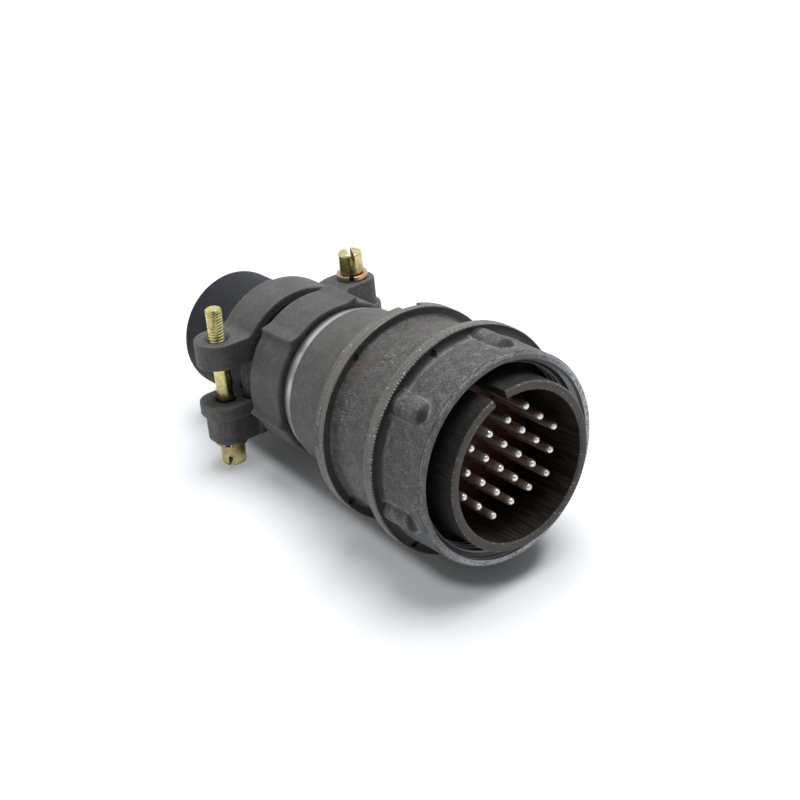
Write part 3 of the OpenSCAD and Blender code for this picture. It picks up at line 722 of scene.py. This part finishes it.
def rounded(corner, before, after, parts=4):
    """The points of a corner: itself, or an arc where it is rounded."""
    here = Vector((corner.r, corner.along))
    if not corner.rounding:
        return [here]
    back = Vector((before.r, before.along)) - here
    ahead = Vector((after.r, after.along)) - here
    half_angle = back.angle(ahead) / 2
    back.normalize()
    ahead.normalize()
    cut_back = corner.rounding / math.tan(half_angle)
    start, stop = here + back * cut_back, here + ahead * cut_back
    centre = here + (back + ahead).normalized() * (corner.rounding / math.sin(half_angle))
    chord = [start.lerp(stop, k / parts) for k in range(parts + 1)]
    return [centre + (point - centre).normalized() * corner.rounding for point in chord]


def outline(corners, closed=True):
    """A section's points, each as (r, along, zone)."""
    count = len(corners)
    arcs = [rounded(corner, corners[i - 1], corners[(i + 1) % count]) for i, corner in enumerate(corners)]
    points = []
    for i, (corner, arc) in enumerate(zip(corners, arcs)):
        points += [(p.x, p.y, corner.mark or corner.zone) for p in arc]
        if i == count - 1 and not closed:
            break
        first, last = arc[-1], arcs[(i + 1) % count][0]
        parts = max(1, round((last - first).length / corner.step))
        points += [(*first.lerp(last, k / parts), corner.zone) for k in range(1, parts)]
    return points


def section_mesh(points, closed=True, thread=None):
    """A section as a loop of edges that carries each point's place and zone.
    A thread is given by where it starts and stops, and how far it fades at both ends."""
    mesh = bpy.data.meshes.new("section")
    count = len(points)
    edges = [(i, (i + 1) % count) for i in range(count if closed else count - 1)]
    mesh.from_pydata([(r, along, 0.0) for r, along, _ in points], edges, [])
    low, high, fade = thread or (0, 0, 1)

    def threaded(along, zone):
        if zone != "thread":
            return 0.0
        return max(0.0, min(1.0, (along - low) / fade, (high - along) / fade))

    ragged = {"rim": 1.0, "face": -0.6}
    values = {
        "r": [r for r, _, _ in points],
        "along": [along for _, along, _ in points],
        "body": [1.0 if zone == "body" else 0.0 for _, _, zone in points],
        "thread": [threaded(along, zone) for _, along, zone in points],
        "edge": [ragged.get(zone, 0.0) for _, _, zone in points]}
    for name, column in values.items():
        mesh.attributes.new(name, "FLOAT", "POINT").data.foreach_set("value", column)
    return mesh


def cut(piece, tools):
    """Takes closed tool meshes away from a piece."""
    shape = bmesh.new()
    for tool in tools:
        shape.from_mesh(tool)
    bmesh.ops.recalc_face_normals(shape, faces=shape.faces)
    mesh = bpy.data.meshes.new("tools")
    shape.to_mesh(mesh)
    shape.free()
    cutter = added("cutter", mesh)
    knife = piece.modifiers.new("cut", "BOOLEAN")
    knife.object = cutter
    knife.operation = "DIFFERENCE"
    knife.solver = "EXACT"
    settle(piece)
    bpy.data.objects.remove(cutter)
    return piece


def about_axis(turn):
    """A turn about the plug's axis."""
    return Matrix.Rotation(math.radians(-turn), 4, "Y")


def tool_bar(r, start, stop, at, turn):
    """A round bar along the axis, at a distance from it and a turn about it."""
    shape = bmesh.new()
    bmesh.ops.create_cone(shape, cap_ends=True, segments=HOLE_COLUMNS, radius1=r * MM, radius2=r * MM,
                          depth=(stop - start) * MM)
    lay = Matrix.Translation((0, (start + stop) / 2 * MM, at * MM)) @ Matrix.Rotation(math.pi / 2, 4, "X")
    shape.transform(about_axis(turn) @ lay)
    mesh = bpy.data.meshes.new("bar")
    shape.to_mesh(mesh)
    shape.free()
    return mesh


def tool_block(size, centre, turning=Matrix.Identity(4)):
    """A block about a centre, turned when it stands there."""
    shape = bmesh.new()
    bmesh.ops.create_cube(shape, size=1.0)
    scale = Matrix.Diagonal((*(length * MM for length in size), 1.0))
    shape.transform(turning @ Matrix.Translation(Vector(centre) * MM) @ scale)
    mesh = bpy.data.meshes.new("block")
    shape.to_mesh(mesh)
    shape.free()
    return mesh


def dress(piece, body, slot, *nodes):
    """Hands a finished piece to its body, in place of its solids."""
    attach(piece, body)
    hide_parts(*nodes)
    return piece


def plain_sizes(columns, finish):
    """The sizes of a turned piece without lugs, thread or teeth."""
    return {"Columns": columns, "Lugs": 1, "Lug Turn": 0.0, "Lug Radius": 0.1, "Lug Centre": 0.0,
            "Lug Width": 0.1, "Lug Front": 0.0, "Thread Pitch": 1.0, "Thread Depth": 0.0, "Teeth": 1,
            "Tooth Depth": 0.0, "Tooth Turn": 0.0, "Finish": finish}


def coupling_nut(turned, finish):
    corners = [
        Corner(NUT_MOUTH_R, NUT_RIM_Y, 0.12),
        Corner(NUT_R - NUT_RIM_BEVEL, NUT_RIM_Y, 0.15, step=0.3),
        Corner(NUT_R, NUT_RIM_Y + NUT_RIM_BEVEL, 0.3, step=0.22, zone="body"),
        Corner(NUT_R, NUT_FLANGE_Y, NUT_ROOT, step=0.3, zone="body"),
        Corner(NUT_FLANGE_R - NUT_FLANGE_BEVEL, NUT_FLANGE_Y, step=0.3, mark="face"),
        Corner(NUT_FLANGE_R, NUT_FLANGE_Y + NUT_FLANGE_BEVEL, step=0.5, mark="rim"),
        Corner(NUT_FLANGE_R, NUT_END_Y, 0.2),
        Corner(NUT_LIP_R, NUT_END_Y, 0.2),
        Corner(NUT_LIP_R, NUT_LIP_Y, 0.15),
        Corner(THREAD_R, NUT_LIP_Y, 0.1, step=0.5),
        Corner(THREAD_R, THREAD_END_Y + 0.2, step=0.1, zone="thread"),
        Corner(THREAD_R, CONE_END_Y, step=0.1, zone="thread"),
        Corner(NUT_MOUTH_R, CONE_Y, step=0.3)]
    section = section_mesh(outline(corners), thread=(CONE_Y, THREAD_END_Y, THREAD_FADE))
    # A lug's round top is the arc over its width that rises to its height
    lug_radius = ((LUG_W / 2) ** 2 + LUG_H ** 2) / (2 * LUG_H)
    sizes = plain_sizes(NUT_COLUMNS, finish)
    sizes.update({
        "Lugs": LUG_COUNT, "Lug Turn": math.radians(LUG_TURN), "Lug Radius": lug_radius,
        "Lug Centre": NUT_R + LUG_H - lug_radius, "Lug Width": LUG_W,
        "Lug Front": NUT_FLANGE_Y - LUG_LEN, "Thread Pitch": THREAD_PITCH, "Thread Depth": THREAD_DEPTH,
        "Teeth": TEETH, "Tooth Depth": TOOTH_DEPTH, "Tooth Turn": math.radians(TOOTH_TURN)})
    piece = outward(grown("coupling_nut_cast", turned, section, sizes))
    cut(piece, [tool_bar(WIRE_HOLE_R, NUT_FLANGE_Y - OVERCUT, NUT_END_Y + OVERCUT, NUT_WIRE_R, turn)
                for turn in NUT_WIRE_TURNS])
    return dress(outward(piece), "nut", "nut_metal", "coupling_nut")


def back_shell(turned, finish):
    corners = [
        Corner(SLEEVE_BORE_R, SLEEVE_Y, 0.15),
        Corner(SLEEVE_R, SLEEVE_Y, 0.3, step=0.7),
        Corner(SLEEVE_R, BACK_FLANGE_Y, 0.6, step=0.5),
        Corner(BACK_FLANGE_R, BACK_FLANGE_Y, 0.16, step=0.5),
        Corner(BACK_FLANGE_R, BACK_END_Y, 0.2, step=0.6),
        Corner(REAR_R, BACK_END_Y, 0.4),
        Corner(REAR_R, TAPER_Y, 0.3, step=0.4),
        Corner(TAPER_R, TAPER_END_Y, 0.25),
        Corner(TAIL_R, TAPER_END_Y, 0.2, step=0.5),
        Corner(TAIL_R, TAIL_END_Y, 0.3),
        Corner(PASS_R, TAIL_END_Y, 0.3, step=1.0),
        Corner(PASS_R, TAPER_Y, 0.5),
        Corner(CAVITY_R, FUNNEL_Y, 0.5, step=1.0),
        Corner(CAVITY_R, SEAT_Y, 0.1),
        Corner(SLEEVE_BORE_R, SEAT_Y, 0.1)]
    section = section_mesh(outline(corners))
    piece = outward(grown("back_shell_turned", turned, section, plain_sizes(BACK_COLUMNS, finish)))
    tools = [tool_bar(WIRE_HOLE_R, BACK_FLANGE_Y - OVERCUT, BACK_END_Y + OVERCUT, BACK_WIRE_R, turn)
             for turn in BACK_WIRE_TURNS]
    # Each notch is open to the rear and to the rim
    block = (NOTCH_W, NOTCH_T + OVERCUT, NOTCH_H + OVERCUT)
    middle = (0, BACK_END_Y - NOTCH_T + block[1] / 2, BACK_FLANGE_R - NOTCH_H + block[2] / 2)
    tools += [tool_block(block, middle, about_axis(turn)) for turn in NOTCH_TURNS]
    cut(piece, tools)
    return dress(outward(piece), "plug", "shell_metal", "endbell")


def contacts(turned, repeated, finish):
    """Every contact: a round-ended pin, its shoulder and its solder cup."""
    tip_steps = 8
    tip_angles = [CIRCLE / 4 * k / tip_steps for k in range(tip_steps + 1)]
    shoulder_y, shoulder_end_y = SPLIT_Y - SHOULDER_HALF, SPLIT_Y + SHOULDER_HALF
    cup_floor_y = CUP_END_Y - CUP_DEPTH
    corners = [Corner(PIN_R * math.sin(a), PIN_TIP_Y + PIN_R * (1 - math.cos(a))) for a in tip_angles]
    corners += [
        Corner(PIN_R, shoulder_y, step=3.0),
        Corner(SHOULDER_R, shoulder_y, 0.1, step=2.0),
        Corner(SHOULDER_R, shoulder_end_y, 0.1, step=2.0),
        Corner(CUP_R, shoulder_end_y, step=2.0),
        Corner(CUP_R, CUP_END_Y, 0.1, step=2.0),
        Corner(CUP_BORE_R, CUP_END_Y, 0.1, step=2.0),
        Corner(CUP_BORE_R, cup_floor_y, step=2.0),
        Corner(0.0, cup_floor_y - CUP_POINT)]
    section = section_mesh(outline(corners, False), False)
    one = outward(grown("contact", turned, section, plain_sizes(CONTACT_COLUMNS, finish)))
    # The cup's upper half is cut away over half its depth
    block = (2 * CUP_R + OVERCUT, CUP_DEPTH, CUP_R + OVERCUT)
    cut(one, [tool_block(block, (0, CUP_END_Y, block[2] / 2))])
    one.data.transform(about_axis(KEY_TURN))
    outward(one)
    row_step = PITCH * math.sqrt(3) / 2
    middle_row = (len(ROWS) - 1) / 2
    places = []
    for row, count in enumerate(ROWS):
        above = (middle_row - row) * row_step
        for i in range(count):
            aside = (i - (count - 1) / 2) * PITCH
            places.append(about_axis(KEY_TURN) @ Vector((aside * MM, 0, above * MM)))
    layout = bpy.data.meshes.new("contact_places")
    layout.from_pydata(places, [], [])
    pins = grown("contacts_turned", repeated, layout, {"Piece": one, "Finish": finish})
    bpy.data.objects.remove(one)
    nodes = ["contact_%02d" % (i + 1) for i in range(len(places))]
    return dress(outward(pins), "plug", "contact_silver", *nodes)


def clamp_screw(name, turned, finish, place, slot_turn, body, node):
    """A slotted screw, made upright and then put in place."""
    corners = [
        Corner(0.0, TIP_U),
        Corner(SCREW_R - TIP_BEVEL, TIP_U, 0.1, step=0.5),
        Corner(SCREW_R, TIP_U + TIP_BEVEL, step=0.08, zone="thread"),
        Corner(SCREW_R, SCREW_THREAD_U, step=0.6),
        Corner(SCREW_R, HEAD_LOW_U, 0.1),
        Corner(HEAD_R, HEAD_LOW_U, 0.25, step=0.6),
        Corner(HEAD_R, HEAD_HIGH_U, 0.55, step=0.6),
        Corner(0.0, HEAD_HIGH_U)]
    sizes = plain_sizes(SCREW_COLUMNS, finish)
    sizes.update({"Thread Pitch": SCREW_PITCH, "Thread Depth": SCREW_THREAD_DEPTH})
    thread = (TIP_U, SCREW_THREAD_U, SCREW_THREAD_FADE)
    section = section_mesh(outline(corners, False), False, thread)
    piece = outward(grown(name, turned, section, sizes))
    # The section's axis is Y; the screw stands along Z
    piece.data.transform(Matrix.Rotation(math.pi / 2, 4, "X"))
    block = (SLOT_W, 4 * HEAD_R, SLOT_DEPTH + OVERCUT)
    middle = (0, 0, HEAD_HIGH_U - SLOT_DEPTH + block[2] / 2)
    cut(piece, [tool_block(block, middle, Matrix.Rotation(math.radians(slot_turn), 4, "Z"))])
    piece.data.transform(place @ Matrix.Translation((SCREW_X * MM, SCREW_Y * MM, 0)))
    return dress(outward(piece, sharp=30.0), body, "yellow_zinc", node)


def lock_washer(name, tree, finish, place, gap_turn, body, node):
    """A split washer, made flat and then put under its screw's head."""
    thickness = WASHER_HIGH_U - WASHER_U
    sizes = {
        "Middle Radius": (WASHER_R + WASHER_BORE_R) / 2 * MM, "Bar Width": (WASHER_R - WASHER_BORE_R) * MM,
        "Bar Height": thickness * WASHER_BAR_SHARE * MM, "Gap": WASHER_GAP * MM,
        "Lift": WASHER_LIFT * MM, "Finish": finish}
    piece = grown(name, tree, bpy.data.meshes.new("start"), sizes)
    stand = Matrix.Translation((SCREW_X * MM, SCREW_Y * MM, (WASHER_U + thickness / 2) * MM))
    piece.data.transform(place @ stand @ Matrix.Rotation(math.radians(gap_turn - 90), 4, "Z"))
    return dress(outward(piece), body, "washer_steel", node)


def bushing(turned, finish):
    corners = [
        Corner(BUSHING_BORE_R, BUSHING_Y, 0.4),
        Corner(BUSHING_R, BUSHING_Y, 0.9),
        Corner(BUSHING_R, SWELL_Y, 0.5),
        Corner(BUSHING_R + SWELL, SWELL_Y + SWELL, 0.5),
        Corner(BUSHING_R + SWELL, BUSHING_END_Y, 1.2),
        Corner(BUSHING_BORE_R, BUSHING_END_Y, 0.6)]
    section = section_mesh(outline(corners))
    piece = grown("bushing_moulded", turned, section, plain_sizes(BUSHING_COLUMNS, finish))
    return dress(outward(piece), "plug", "rubber", "bushing")


def solid_copy(name, node):
    """A copy of a solid's mesh with its loose triangles joined and no finish."""
    piece = added(name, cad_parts[node].data.copy())
    shape = bmesh.new()
    shape.from_mesh(piece.data)
    bmesh.ops.remove_doubles(shape, verts=shape.verts, dist=JOIN * MM)
    shape.to_mesh(piece.data)
    shape.free()
    piece.data.materials.clear()
    return piece


def mark_ridges(mesh, grid, gain=12.0, rounds=3):
    """Stores 'ridge' on a mesh: above 0 on its edges, below 0 in its inner corners."""
    count = len(mesh.vertices)
    place, normal = np.empty(count * 3), np.empty(count * 3)
    mesh.vertices.foreach_get("co", place)
    mesh.vertex_normals.foreach_get("vector", normal)
    place, normal = place.reshape(-1, 3), normal.reshape(-1, 3)
    pairs = np.empty(len(mesh.edges) * 2, dtype=np.int64)
    mesh.edges.foreach_get("vertices", pairs)
    a, b = pairs.reshape(-1, 2).T
    links = np.bincount(a, minlength=count) + np.bincount(b, minlength=count)

    def spread(values):
        """The mean over each point's neighbours."""
        total = np.zeros_like(values)
        np.add.at(total, a, values[b])
        np.add.at(total, b, values[a])
        return total / links.reshape((-1,) + (1,) * (values.ndim - 1))

    ridge = ((place - spread(place)) * normal).sum(axis=1) / (grid * MM) * gain
    for _ in range(rounds):
        ridge = spread(ridge)
    mesh.attributes.new("ridge", "FLOAT", "POINT").data.foreach_set("value", ridge.astype(np.float32))


def casting(name, node, finish, body, grid):
    """A solid with its edges softened as a casting's are."""
    piece = solid_copy(name, node)
    remesh = piece.modifiers.new("remesh", "REMESH")
    remesh.mode = "VOXEL"
    remesh.voxel_size = grid * MM
    smooth = piece.modifiers.new("smooth", "SMOOTH")
    smooth.iterations = CAST_ROUNDS
    outward(settle(piece), sharp=60.0)
    mark_ridges(piece.data, grid)
    piece.data.materials.append(finish)
    return dress(piece, body, "clamp_metal", node)


def plug_shell(finish):
    """The shell's solid with small bevels along its sharp edges."""
    piece = solid_copy("plug_shell_bevelled", "plug_shell")
    soften = piece.modifiers.new("soften", "BEVEL")
    soften.width = BARREL_BEVEL * MM
    soften.segments = 2
    soften.limit_method = "ANGLE"
    soften.angle_limit = math.radians(BARREL_SHARP)
    settle(piece)
    piece.data.materials.append(finish)
    return dress(outward(piece, sharp=BARREL_SHARP), "plug", "shell_metal", "plug_shell")


def keep_solid(node, finish):
    """A solid that shows as it is, under a better finish."""
    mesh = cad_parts[node].data
    mesh.materials.clear()
    mesh.materials.append(finish)


def table_finish(shade_r, shade_edge, shade_start, shade_end):
    """White, but without glow close under the plug, which leaves a painted shadow there; the plug's axis lies
    along the table's own Y.
    """
    material = bpy.data.materials.new("white_table")
    material.use_nodes = True
    net = Net(material.node_tree)
    net.tree.nodes.clear()
    matte = net.node("ShaderNodeBsdfDiffuse", {}, {"Color": (0.86, 0.88, 0.90, 1.0)})
    direct, mirrored = net.outputs("ShaderNodeLightPath", "Is Camera Ray", "Is Glossy Ray")
    across, ahead, _ = net.split(net.node("ShaderNodeTexCoord", out="Object"))
    aside, along = across / MM, ahead / MM
    beyond = (shade_start - along).math("MAXIMUM", along - shade_end).math("MAXIMUM", 0.0)
    away = net.band((aside * aside + beyond * beyond).math("SQRT"), shade_r, shade_edge)
    # Painted shadow: the camera-ray glow fades out close under the plug
    glow = net.node("ShaderNodeEmission", {}, {
        "Color": (0.93, 0.97, 1.0, 1.0),
        "Strength": direct.math("MAXIMUM", mirrored) * (away * 0.25 + 0.02)})
    net.node("ShaderNodeOutputMaterial", {}, [net.node("ShaderNodeAddShader", {}, [matte, glow])])
    return material


def lay_table(half=4000.0, gap=0.02):
    """A white table that the plug lies on, just under its three points of rest:
    the nut's flange, the left screw's head and the right screw's tip."""
    rests = [Vector((0.0, NUT_END_Y, -NUT_FLANGE_R)),
             Vector((-SCREW_X - HEAD_R + 0.2, SCREW_Y, -HEAD_HIGH_U)),
             Vector((SCREW_X + SCREW_R - TIP_BEVEL, SCREW_Y, TIP_U))]
    up = (rests[1] - rests[0]).cross(rests[2] - rests[0]).normalized()
    if up.z < 0:
        up.negate()
    mesh = bpy.data.meshes.new("table")
    edge = half * MM
    mesh.from_pydata([(-edge, -edge, 0), (edge, -edge, 0), (edge, edge, 0), (-edge, edge, 0)],
                     [], [(0, 1, 2, 3)])
    mesh.materials.append(table_finish(shade_r=10.0, shade_edge=14.0, shade_start=-4.0, shade_end=72.0))
    table = added("table", mesh)
    ahead = (Vector((0, 1, 0)) - up * up.y).normalized()
    axes = Matrix((ahead.cross(up), ahead, up)).transposed()
    table.matrix_world = Matrix.Translation(rests[0] * MM - Vector((0, 0, gap * MM))) @ axes.to_4x4()


def lamp(name, towards, spread, strength):
    """A far soft light, seen from the plug in the given direction."""
    data = bpy.data.lights.new(name, "SUN")
    data.angle = math.radians(spread)
    data.energy = strength
    light = bpy.data.objects.new(name, data)
    light.rotation_euler = Vector(towards).to_track_quat("Z", "Y").to_euler()
    bpy.context.scene.collection.objects.link(light)


def room(dim_side):
    """A white room that is dimmer on one side, more so for light than for mirrored views of it."""
    world = bpy.data.worlds.new("white_room")
    bpy.context.scene.world = world
    world.use_nodes = True
    net = Net(world.node_tree)
    net.tree.nodes.clear()
    direct, glossy, through = net.outputs(
        "ShaderNodeLightPath", "Is Camera Ray", "Is Glossy Ray", "Is Transmission Ray")
    towards = net.node("ShaderNodeTexCoord", out="Generated")
    facing = net.node("ShaderNodeVectorMath", {"operation": "DOT_PRODUCT"}, [towards, dim_side], out="Value")
    soft = (1 - net.band(facing, -0.2, 0.7) * 0.86) * 0.48
    clear = 1 - net.band(facing, 0.1, 0.75) * 0.35 - net.band(facing, 0.86, 0.95) * 0.55
    level = soft + (clear - soft) * glossy.math("MAXIMUM", through)
    level = level + (1 - level) * direct
    sky = net.node("ShaderNodeBackground", {}, {"Color": (1.0, 1.0, 1.0, 1.0), "Strength": level})
    net.node("ShaderNodeOutputWorld", {}, [sky])


def camera(place, right, up, lens):
    """A view from a place, given by the directions of its right and its top."""
    data = bpy.data.cameras.new("view")
    data.sensor_width = 36.0
    data.lens = lens
    data.clip_start = 10.0 * MM
    view = bpy.data.objects.new("view", data)
    right, up = Vector(right), Vector(up)
    axes = Matrix((right, up, right.cross(up))).transposed()
    view.matrix_world = Matrix.Translation([part * MM for part in place]) @ axes.to_4x4()
    bpy.context.scene.collection.objects.link(view)
    bpy.context.scene.camera = view
    bpy.context.scene.view_settings.view_transform = "Standard"


turned = turned_tree()
repeated = repeat_tree()
washer = washer_tree()
right_zinc = zinc_finish("right_screw_yellow_zinc", 1, RIGHT_SLOT_TURN)
left_zinc = zinc_finish("left_screw_yellow_zinc", -1, LEFT_SLOT_TURN)
right_copper = washer_finish("right_washer_copper_zinc", 1, RIGHT_GAP_TURN, "c4b08c", "dcae8c")
left_copper = washer_finish("left_washer_copper_zinc", -1, LEFT_GAP_TURN, "8b6f45", "a8905c")
clamp_grey = clamp_finish()
insulator = insert_finish()
upright = Matrix.Identity(4)
upside_down = Matrix.Rotation(math.pi, 4, "Y")

coupling_nut(turned, nut_finish())
plug_shell(shell_finish())
back_shell(turned, back_finish())
contacts(turned, repeated, contact_finish())
bushing(turned, rubber_finish())
casting("clamp_nut_cast", "clamp_nut", clamp_grey, "plug", CLAMP_GRID)
casting("upper_saddle_cast", "upper_saddle", clamp_grey, "saddle", SADDLE_GRID)
casting("lower_saddle_cast", "lower_saddle", clamp_grey, "plug", SADDLE_GRID)
clamp_screw("right_screw_threaded", turned, right_zinc, upright, RIGHT_SLOT_TURN,
            "right_screw", "right_clamp_screw")
clamp_screw("left_screw_threaded", turned, left_zinc, upside_down, LEFT_SLOT_TURN,
            "left_screw", "left_clamp_screw")
lock_washer("right_washer_split", washer, right_copper, upright, RIGHT_GAP_TURN,
            "saddle", "right_lock_washer")
lock_washer("left_washer_split", washer, left_copper, upside_down, LEFT_GAP_TURN,
            "plug", "left_lock_washer")
keep_solid("front_insert", insulator)
keep_solid("rear_insert", insulator)
keep_solid("insert_ring", spring_finish())

lay_table()
room(dim_side=(-0.527, -0.724, 0.445))
lamp("overhead", towards=(0.20, 0.0, 0.98), spread=42.0, strength=2.7)
camera(place=(-189.216, -223.608, 161.715), right=(0.77825, -0.62165, -0.08873),
       up=(0.34112, 0.29989, 0.8909), lens=81.0)
